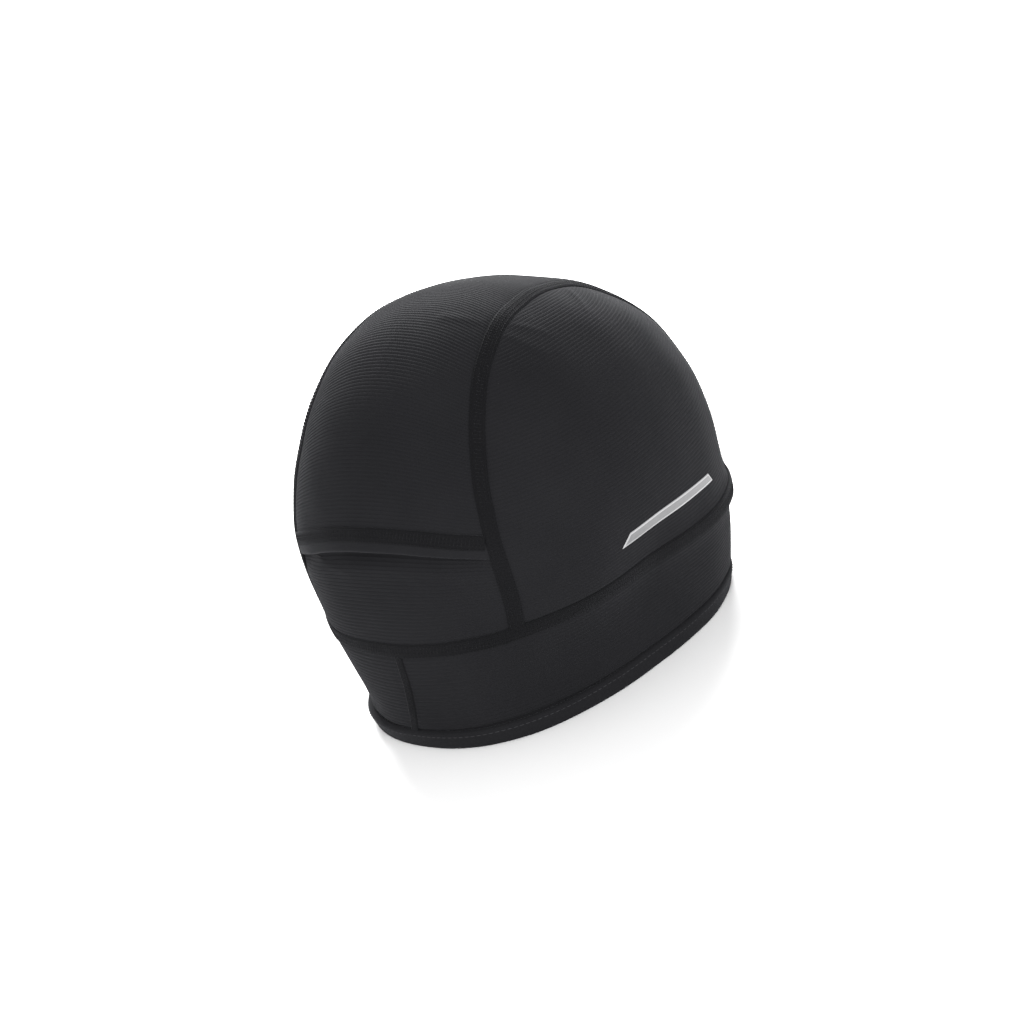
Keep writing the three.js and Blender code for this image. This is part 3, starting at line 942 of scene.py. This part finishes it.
def headband():
    """The band: a ring from behind the hem, where it leans out to meet the curl, to the band seam."""
    bearing = np.linspace(0, 2 * np.pi, BAND_COLUMNS, endpoint=False)
    foot = HEM_HEIGHT - BEHIND_HEM
    head = band_seam_height(bearing) - UNDER_SEAM
    rows, rib, step = rib_rows(float(head.mean() - foot))
    z = foot + (head - foot) * rows[:, None]
    d = at_height(bearing, z)
    sink = CREASE_DEPTH * bell(np.maximum(z - HEM_HEIGHT, 0) / CREASE_RUN)
    behind = np.clip((HEM_HEIGHT - z) / BEHIND_HEM, 0, 1)
    lift = behind * hem_curl(bearing_of(on_dome(d)), z) - sink
    thickness = BAND_CLOTH - sink
    finish_panel("cloth_headband", "headband", d, rib, lift, thickness, step, ring=True)


headband()

# %% [markdown]
# ## Paths on the dome
#
# Seams, hems and stitches all follow lines over the dome. A path keeps points, normals and side
# directions at every distance along the line, so anything can be placed by three numbers: how far
# along, how far across and how high above the cloth.

# %% Path frames
class SeamPath:
    """A line over the dome: points, normals and sides by distance along it."""

    def __init__(self, d, closed=False, lift=None):
        """Follows directions from the dome's centre. Lift is a function of points: height above it."""
        p, n = on_dome(d), normal_at(d)
        if lift is not None:
            p = p + n * lift(p)[..., None]
        if closed:
            p, n = np.concatenate([p, p[:1]]), np.concatenate([n, n[:1]])
        self.closed = closed
        self.run = distance_along(p)
        self.length = float(self.run[-1])
        if closed:
            along = np.gradient(np.concatenate([p[-3:-1], p, p[1:3]]), axis=0)[2:-2]
        else:
            along = np.gradient(p, axis=0)
        along /= np.linalg.norm(along, axis=-1, keepdims=True)
        side = np.cross(n, along)
        side /= np.linalg.norm(side, axis=-1, keepdims=True)
        self.table = np.concatenate([p, n, side], axis=1)

    def place(self, along, across, up):
        """Points at a distance along, across and up, and the normals there.

        The cloth falls away to the sides as the square of across over the hat's width.
        """
        along, across, up = np.broadcast_arrays(along, across, up)
        if self.closed:
            along = np.mod(along, self.length)
        row = np.stack([np.interp(along, self.run, column) for column in self.table.T], axis=-1)
        drop = across**2 / (2 * HALF_WIDTH)
        point = row[..., :3] + row[..., 6:] * across[..., None] + row[..., 3:6] * (up - drop)[..., None]
        return point, row[..., 3:6]


# %% [markdown]
# ## Flat seams
#
# A flat seam is two cloth edges laid against each other and covered by a net of thread. Its bed is
# a low band with rounded edges. On it lie four rows of needle stitches, and a cover thread that
# zigzags between the outer rows. The threads could be a texture, but as thin tubes they catch
# light one by one, and they cost few faces.

# %% Seam bed and thread tubes
SEAM_PROUD = 0.35 * MM
BED_DEPTH = 1.6 * MM
BED_SPACING = 1.6 * MM
BED_SHARES = np.linspace(-1, 1, 13)[:, None]
BED_ARCH = (1 - np.abs(BED_SHARES) ** 3) ** 0.5
BED_INSIDE_STEP = 6
BED_INSIDE_SHARE = 0.96
THREAD_RADIUS = 0.13 * MM
TUBE_SIDES = 5


def seam_bed(name, path, width, node=None, base=0.0):
    """A low band along a path: its top is a flattened arch across the width, closed underneath."""
    count = round(path.length / BED_SPACING)
    along = np.linspace(0, path.length, count + 1)[: count if path.closed else count + 1]
    across = BED_SHARES * width / 2
    inside = across[::BED_INSIDE_STEP] * BED_INSIDE_SHARE
    top = path.place(along, across, base + SEAM_PROUD * BED_ARCH)[0]
    under = path.place(along, inside, base - BED_DEPTH)[0]
    uv = np.stack(np.broadcast_arrays(along, across), axis=-1)
    piece = cloth_body(name, top, under, uv, SEAM_CLOTH, path.closed)
    if node:
        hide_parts(node)


def tubes(name, lines, normals, radius, material=THREAD):
    """Many thin tubes at once: each line of points gets rings of a few corners, and a cap at each end."""
    count, length = lines.shape[:2]
    along = np.gradient(lines, axis=1)
    along /= np.linalg.norm(along, axis=-1, keepdims=True)
    side = np.cross(along, normals)
    side /= np.linalg.norm(side, axis=-1, keepdims=True)
    up = np.cross(side, along)
    corner = np.arange(TUBE_SIDES)
    turn = 2 * np.pi * corner / TUBE_SIDES
    size = np.broadcast_to(radius, (length,))[:, None, None]
    circle = np.cos(turn)[:, None] * side[:, :, None] + np.sin(turn)[:, None] * up[:, :, None]
    points = (lines[:, :, None] + size * circle).reshape(-1, 3)
    rings = grid_faces(length, TUBE_SIDES, 0, ring=True)
    offsets = np.arange(count)[:, None, None] * length * TUBE_SIDES
    start = corner[None, ::-1]
    end = (length - 1) * TUBE_SIDES + corner[None, :]
    groups = [(faces[None] + offsets).reshape(-1, faces.shape[-1]) for faces in (rings, start, end)]
    new_piece(name, points, groups, material, np.zeros((len(points), 2)))


# %% Net of threads
STITCH_PITCH = 1.5 * MM
NEEDLE_ROWS = (-1, -0.34, 0.34, 1)
NEEDLE_INSET = 0.7 * MM
NEEDLE_START = 0.08
NEEDLE_SHARE = 0.84
NEEDLE_ARCH = 0.10 * MM
NEEDLE_TAPER = np.array([0.4, 0.9, 1.1, 1.1, 0.9, 0.4])
THREAD_PROUD = 0.02 * MM
NET_FALL = 0.10 * MM
COVER_SAMPLES = 8
COVER_SHARPNESS = 0.97
COVER_SINK = 0.06 * MM
COVER_WAVE = 0.05 * MM
SHORT_OF_CLOSED = 0.999


def cover_stitches(name, path, width, base=0.0, rows=NEEDLE_ROWS):
    """The net of a flat seam: rows of needle stitches, and a cover thread between the outer rows.

    A stitch is half a wave of sine along the path. The cover thread swings from side to side as
    the arc sine of a sine, a zigzag with rounded corners.
    """
    reach = width / 2 - NEEDLE_INSET
    count = round(path.length / STITCH_PITCH)
    pitch = path.length / count
    top = base + SEAM_PROUD + THREAD_PROUD

    step = np.linspace(0, 1, len(NEEDLE_TAPER))
    begin = (np.arange(count) + NEEDLE_START) * pitch
    along = begin[:, None] + step * pitch * NEEDLE_SHARE
    arch = top + NEEDLE_ARCH * np.sin(np.pi * step)
    placed = [path.place(along, reach * row, arch - NET_FALL * abs(row)) for row in rows]
    lines = np.concatenate([p for p, _ in placed])
    normals = np.concatenate([n for _, n in placed])
    tubes(name + "_needle", lines, normals, THREAD_RADIUS * NEEDLE_TAPER)

    t = np.linspace(0, count, count * COVER_SAMPLES + 1)
    swing = np.arcsin(np.sin(2 * np.pi * t) * COVER_SHARPNESS) / (np.pi / 2)
    rise = top - COVER_SINK + COVER_WAVE * np.cos(2 * np.pi * t)
    end = SHORT_OF_CLOSED if path.closed else 1.0
    p, n = path.place(t / count * path.length * end, reach * swing, rise - NET_FALL * swing**2)
    tubes(name + "_cover", p[None], n[None], THREAD_RADIUS)


# %% Crown seams
CROWN_END_RISE = 2.2 * MM
CROWN_SAMPLES = 500


def crown_path(side):
    """The crown seam's line on one side, from the band seam at the back over the crown to the front."""
    def line(arc):
        """Sideways place of the seam at an arc angle."""
        return side * seam_x(arc)

    arc = arcs_over_crown(line, CROWN_END_RISE, CROWN_SAMPLES)
    return SeamPath(across_arc(arc, line(arc)))


for side_name, side in (("right", -1), ("left", 1)):
    crown = crown_path(side)
    seam_bed(f"bed_crown_{side_name}", crown, SEAM_WIDTH, f"crown_seam_{side_name}")
    cover_stitches(f"stitch_crown_{side_name}", crown, SEAM_WIDTH)
    print("crown seam mm", side_name, round(crown.length / MM))

# %% Band seam
RING_BEARINGS = np.linspace(0, 2 * np.pi, 720, endpoint=False)
BAND_BED_BASE = 0.12 * MM

band_path = SeamPath(at_height(RING_BEARINGS, band_seam_height(RING_BEARINGS)), closed=True)
seam_bed("bed_band", band_path, SEAM_WIDTH, "band_seam", base=BAND_BED_BASE)
cover_stitches("stitch_band", band_path, SEAM_WIDTH, base=BAND_BED_BASE)
print("band seam mm", round(band_path.length / MM))

# %% [markdown]
# ## The seam at the nape
#
# The headband's ends meet at the back in a narrow upright seam that leans a little. Its line could
# be drawn by hand as a curve and projected, but a parabola of its height needs only two numbers,
# its place at the foot and at the top. It is too narrow for more than two rows of stitches.

# %% Nape seam
BACK_SEAM_WIDTH = 3.8 * MM
BACK_SEAM_FOOT_X = 3.2 * MM
BACK_SEAM_TOP_X = -4.6 * MM
BACK_SEAM_TUCK = 0.5 * MM
BACK_SEAM_HEAD_GAP = 2.6 * MM
BACK_SEAM_SAMPLES = 60
BACK_SEAM_REACH = 0.3


def nape_path():
    """The upright seam of the band: it bends to the wearer's right as a parabola of its height."""
    foot = HEM_HEIGHT - BACK_SEAM_TUCK
    head = band_seam_height(0.0) - BACK_SEAM_HEAD_GAP
    rise = np.linspace(0, 1, BACK_SEAM_SAMPLES)
    z = foot + (head - foot) * rise
    x = BACK_SEAM_FOOT_X + (BACK_SEAM_TOP_X - BACK_SEAM_FOOT_X) * (1 - (1 - rise) ** 2)

    def miss(bearing):
        """How far the dome at these bearings lies from the wanted x."""
        return on_dome(at_height(bearing, z))[..., 0] - x

    bearing = halve(miss, -BACK_SEAM_REACH, BACK_SEAM_REACH)
    return SeamPath(at_height(bearing, z))


nape = nape_path()
seam_bed("bed_nape", nape, BACK_SEAM_WIDTH, "band_back_seam")
cover_stitches("stitch_nape", nape, BACK_SEAM_WIDTH, rows=(-1, 1))
print("nape seam mm", round(nape.length / MM))

# %% [markdown]
# ## The slot's hem
#
# The hem is the strip's cloth turned under: a rounded edge that stands off the panel below, with
# the same net of thread a few millimetres above it. A bevel could round a plain edge, but not so
# evenly along a line that bends two ways, so the hem's faces follow a quarter ellipse.

# %% Slot hem
HEM_ROUND = 1.3 * MM
HEM_OVER = 0.1 * MM
HEM_RISES = np.array([0, 0.12, 0.35, 0.7, 1.1, 1.6, 2.4, 3.4, 4.6, 6.0, 7.6]) * MM


def quarter_round(t):
    """How far a quarter circle has drawn in at a share t: one minus the root of one minus t squared."""
    return 1 - np.sqrt(1 - t**2)


def slot_hem():
    """The turned edge: rows climb from the fold, and both faces swell to the full thickness."""
    arc = arc_where(strip_x, above_slot(HEM_RISES[:, None]), SLOT_ARCS)
    d = across_arc(arc, strip_x(arc))
    p, n = on_dome(d), normal_at(d)
    round_in = SLOT_CLOTH / 2 * quarter_round(np.clip(1 - HEM_RISES / HEM_ROUND, 0, 1))[:, None]
    left, right = grid_distances(p)
    face = slot_lift(p) + HEM_OVER + edge_dip(left) + edge_dip(right)
    outer = p + n * (face - round_in)[..., None]
    inner = p + n * (face - SLOT_CLOTH + round_in)[..., None]
    piece = cloth_body("hem_slot", outer, inner, weave_uv(p), HEM_CLOTH)
    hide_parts("slot_hem")


slot_hem()

# %% Stitches of the slot's hem
SLOT_SAMPLES = 200
SLOT_BED_BASE = 0.25 * MM


def slot_stitch_path():
    """The line of the slot's net of thread, parallel to the hem's edge."""
    share = np.linspace(-1, 1, SLOT_SAMPLES)

    def line(arc):
        """Sideways places of the samples at an arc angle."""
        return share * seam_x(arc, -SEAM_WIDTH / 2)

    arc = arc_where(line, above_slot(HEM_EDGE + SEAM_WIDTH / 2), SLOT_ARCS)
    return SeamPath(across_arc(arc, line(arc)), lift=slot_lift)


slot_path = slot_stitch_path()
seam_bed("bed_slot", slot_path, SEAM_WIDTH, base=SLOT_BED_BASE)
cover_stitches("stitch_slot", slot_path, SEAM_WIDTH, base=SLOT_BED_BASE)
print("slot stitches mm", round(slot_path.length / MM))

# %% [markdown]
# ## The rim's hem
#
# The hat ends in a roll of smooth jersey, flat underneath where the hat rests on it. A torus would
# be as round all the way, but the real roll is tall and thin and curls out beside the nape. Its
# faces bulge as quarter ellipses at the foot and at the head, and plain stitches hold it.

# %% Rim hem
HEM_PROUD = 0.7 * MM
RIM_CLOTH = 3.0 * MM
RIM_COLUMNS = 360
RIM_LEVELS = np.array([0, 0.25, 0.7, 1.4, 2.4, 3.8, 5.2, 6.4, 7.3, 8.0, 8.4, 8.6]) * MM
FOOT_ROUND = 1.6 * MM
FOOT_INSET = 0.9 * MM
HEAD_ROUND = 1.2 * MM
HEAD_INSET = 1.7 * MM
INNER_INSET_SHARE = 0.6


def rim_hem():
    """The rolled rim: its faces draw in at the foot and at the head, and its underside is flat."""
    bearing = np.linspace(0, 2 * np.pi, RIM_COLUMNS, endpoint=False)
    z = RIM_LEVELS[:, None]
    d = at_height(bearing, z)
    p, n = on_dome(d), normal_at(d)
    up = np.clip(1 - z / FOOT_ROUND, 0, 1)
    down = np.clip(1 - (HEM_HEIGHT - z) / HEAD_ROUND, 0, 1)
    inset = FOOT_INSET * quarter_round(up) + HEAD_INSET * quarter_round(down)
    stand = HEM_PROUD + hem_curl(bearing_of(p), z)
    outer = p + n * (stand - inset)[..., None]
    inner = p + n * (stand - RIM_CLOTH + inset * INNER_INSET_SHARE)[..., None]
    outer[0, :, 2] = inner[0, :, 2] = 0
    piece = cloth_body("hem_rim", outer, inner, weave_uv(p), HEM_CLOTH, ring=True)
    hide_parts("rim_hem")


rim_hem()

# %% Stitches of the rim's hem
RIM_STITCH_DROP = 1.9 * MM
RIM_STITCH_PITCH = 2.6 * MM
RIM_STITCH_SHARE = 0.72
RIM_STITCH_PROUD = 0.04 * MM
RIM_STITCH_ARCH = 0.16 * MM
RIM_STITCH_SINK = 0.6
RIM_STITCH_TAPER = np.array([0.5, 1, 1.1, 1.1, 1, 0.5])


def rim_stitches(path):
    """A row of single stitches: short tubes, each half a wave of sine whose ends dive into the cloth."""
    count = round(path.length / RIM_STITCH_PITCH)
    step = np.linspace(0, 1, len(RIM_STITCH_TAPER))
    along = (np.arange(count)[:, None] + step * RIM_STITCH_SHARE) * path.length / count
    arch = HEM_PROUD + RIM_STITCH_PROUD + RIM_STITCH_ARCH * (np.sin(np.pi * step) - RIM_STITCH_SINK)
    p, n = path.place(along, 0.0, arch)
    tubes("stitch_rim", p, n, THREAD_RADIUS * RIM_STITCH_TAPER, material=RIM_THREAD_WITH_PAINTED_HIGHLIGHT)
    print("rim stitches", count)


rim_stitches(
    SeamPath(
        at_height(RING_BEARINGS, HEM_HEIGHT - RIM_STITCH_DROP),
        closed=True,
        lift=lambda p: hem_curl(bearing_of(p), p[..., 2]),
    )
)

# %% [markdown]
# ## The reflective bar
#
# A slim bar of pale reflective film is bonded to the wearer's right side. It is plain. Film of
# this kind is a layer of tiny glass beads, so it looks matte grey with a fine grain. The bar could
# be an image on the cloth, but as a thin raised piece it has an edge that catches light.

# %% Film material
# Width of the painted highlight along the film's edges.
FILM_HIGHLIGHT_MARGIN = 0.8 * MM


def film_material():
    """Bead film: pale grey with a fine grain of cells, and a painted highlight as a brighter margin at
    its edges.
    """
    material, tree, shader = new_material("reflective_film")
    place = group_node(tree, "ShaderNodeTexCoord", -900, 0)
    cells = group_node(tree, "ShaderNodeTexVoronoi", -700, 0)
    set_inputs(cells, Scale=3200)
    tree.links.new(place.outputs["Object"], cells.inputs["Vector"])
    colour = group_node(tree, "ShaderNodeMix", -400, 150, data_type="RGBA")
    set_inputs(colour, A=(0.150, 0.150, 0.154, 1), B=(0.112, 0.112, 0.115, 1))
    tree.links.new(cells.outputs["Distance"], colour.inputs["Factor"])
    from_edge = group_node(tree, "ShaderNodeUVMap", -940, 500, uv_map="weave")
    split = group_node(tree, "ShaderNodeSeparateXYZ", -760, 500)
    tree.links.new(from_edge.outputs["UV"], split.inputs[0])
    nearest = math_node(tree, "MINIMUM", -580, 500, split.outputs["X"], split.outputs["Y"])
    # Painted highlight: within this margin of its edges the film takes a paler grey.
    painted_highlight_mask = math_node(tree, "LESS_THAN", -400, 500, nearest, FILM_HIGHLIGHT_MARGIN)
    with_painted_highlight = group_node(tree, "ShaderNodeMix", -200, 300, data_type="RGBA")
    set_inputs(with_painted_highlight, B=(0.32, 0.32, 0.325, 1))
    tree.links.new(painted_highlight_mask, with_painted_highlight.inputs["Factor"])
    tree.links.new(colour.outputs["Result"], with_painted_highlight.inputs["A"])
    tree.links.new(with_painted_highlight.outputs["Result"], shader.inputs["Base Color"])
    add_relief(tree, shader, cells.outputs["Distance"], -400, strength=0.25, distance=0.05 * MM)
    set_inputs(shader, Roughness=0.42, Metallic=0.15)
    return material


# %% Reflective bar
BAR_BACK = np.array([24.3, 64.2, -5.6]) * MM
BAR_FRONT = np.array([-41.0, 59.6, 3.0]) * MM
BAR_WIDTH = 4.6 * MM
BAR_BOW = 0.8 * MM
BAR_BEARINGS = (0.9, 2.4)
BAR_LENGTHWISE = np.concatenate([[0, 0.003], np.linspace(0.01, 0.99, 60), [0.997, 1]])
BAR_CROSSWISE = np.array([-0.5, -0.48, -0.43, -0.2, 0, 0.2, 0.43, 0.48, 0.5])[:, None]
FILM_FOOT = 0.05 * MM
FILM_THICKNESS = 0.30 * MM
FILM_BELOW = 0.1 * MM
FILM_RIM = 0.05
FILM_END_SCALE = 10


def reflective_bar():
    """A strip between two slanted ends, whose height falls evenly to the front with a slight bow.

    Its face rises from the rim as the root of the distance to the nearest edge.
    """
    u, v = BAR_LENGTHWISE, BAR_CROSSWISE
    foot = BAR_BACK + (BAR_FRONT - BAR_BACK) * u[:, None]
    y = foot[:, 0] + foot[:, 2] * v
    z = foot[:, 1] + BAR_BOW * 4 * u * (1 - u) + BAR_WIDTH * v
    bearing = halve(lambda b: y - on_dome(at_height(b, z))[..., 1], *BAR_BEARINGS)
    d = at_height(bearing, z) * np.array([-1, 1, 1])
    p, n = on_dome(d), normal_at(d)
    from_end = FILM_END_SCALE * (0.5 - np.abs(u - 0.5))
    rim = np.clip(np.minimum(0.5 - np.abs(v), from_end) / FILM_RIM, 0, 1)
    outer = p + n * (FILM_FOOT + FILM_THICKNESS * rim**0.5)[..., None]
    inner = p - n * FILM_BELOW
    from_edge = weave_uv(p)
    from_edge[..., 0] = np.minimum(*grid_distances(p))
    from_edge[..., 1] = np.minimum(from_edge[..., 1], from_edge[..., 1].max() - from_edge[..., 1])
    piece = cloth_body("film_bar", outer, inner, from_edge, film_material())
    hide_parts("reflective_strip")


reflective_bar()

# %% [markdown]
# ## Camera, floor and light
#
# The camera looks at the hat from behind, from the wearer's right and from above, with a long
# lens, and is rolled as the hat is seen tilted. The floor is a plain pale plane. A strong key light
# from one side would bury the black cloth in shadow. So a large soft light stands high beyond the
# hat, where the fuzz catches it, and a weaker one by the camera and a pale surround do the rest.

# %% Camera
CAMERA_BEARING = math.radians(-44)
CAMERA_LIFT = math.radians(21.882)
CAMERA_ROLL = math.radians(16.952)
CAMERA_DISTANCE = 1.3
TARGET = np.array([0.0, 11.086, 80.0]) * MM
FRAME_PIXELS = 1024
PIXELS_PER_METRE = 2384.0
TARGET_PIXEL = (491.5, 483.9)


def make_camera():
    """The camera: three unit axes from bearing, lift and roll, and a lens that gives the framing."""
    back = aim(CAMERA_BEARING, CAMERA_LIFT)
    right = np.cross(-back, [0, 0, 1])
    right /= np.linalg.norm(right)
    up = np.cross(right, -back)
    rolled_right = right * math.cos(CAMERA_ROLL) - up * math.sin(CAMERA_ROLL)
    rolled_up = right * math.sin(CAMERA_ROLL) + up * math.cos(CAMERA_ROLL)
    data = bpy.data.cameras.new("camera")
    data.sensor_width = 36
    data.lens = PIXELS_PER_METRE * CAMERA_DISTANCE * data.sensor_width / FRAME_PIXELS
    data.shift_x = 0.5 - TARGET_PIXEL[0] / FRAME_PIXELS
    data.shift_y = TARGET_PIXEL[1] / FRAME_PIXELS - 0.5
    data.clip_start = 0.05
    camera = bpy.data.objects.new("camera", data)
    axes = Matrix(np.stack([rolled_right, rolled_up, back], axis=1).tolist()).to_4x4()
    camera.matrix_world = Matrix.Translation(Vector(TARGET + back * CAMERA_DISTANCE)) @ axes
    bpy.context.scene.collection.objects.link(camera)
    bpy.context.scene.camera = camera


make_camera()
print("lens mm", round(bpy.context.scene.camera.data.lens, 1))

# %% Floor
FLOOR_HALF = 6.0


def make_floor():
    """A wide plain pale plane, given by its four corners."""
    corners = np.array([[-1, -1, 0], [1, -1, 0], [1, 1, 0], [-1, 1, 0]]) * FLOOR_HALF
    mesh = bpy.data.meshes.new("floor")
    mesh.from_pydata(corners.tolist(), [], [(0, 1, 2, 3)])
    floor = bpy.data.objects.new("floor", mesh)
    bpy.context.scene.collection.objects.link(floor)
    material, _, shader = new_material("pale_floor")
    set_inputs(shader, Base_Color=(0.86, 0.86, 0.86, 1), Roughness=0.9, Specular_IOR_Level=0.1)
    mesh.materials.append(material)


make_floor()
print("floor width m", 2 * FLOOR_HALF)

# %% Lights and surround
def area_light(name, bearing, lift, distance, size, power):
    """A square soft light at a bearing from the hat's back and a lift, in degrees, aimed at the hat."""
    data = bpy.data.lights.new(name, "AREA")
    data.size = size
    data.energy = power
    light = bpy.data.objects.new(name, data)
    target = Vector(TARGET)
    where = target + Vector(aim(math.radians(bearing), math.radians(lift)) * distance)
    light.location = where
    light.rotation_mode = "QUATERNION"
    light.rotation_quaternion = (target - where).to_track_quat("-Z", "Y")
    bpy.context.scene.collection.objects.link(light)


area_light("key", bearing=140, lift=34, distance=1.6, size=1.0, power=92)
area_light("fill", bearing=-44, lift=25, distance=2.0, size=1.2, power=38)
world = bpy.data.worlds.new("studio")
world.use_nodes = True
set_inputs(world.node_tree.nodes["Background"], Color=(1, 1, 1, 1), Strength=0.9)
bpy.context.scene.world = world
bpy.context.scene.view_settings.view_transform = "Standard"
print("lights", [light.name for light in bpy.data.lights])
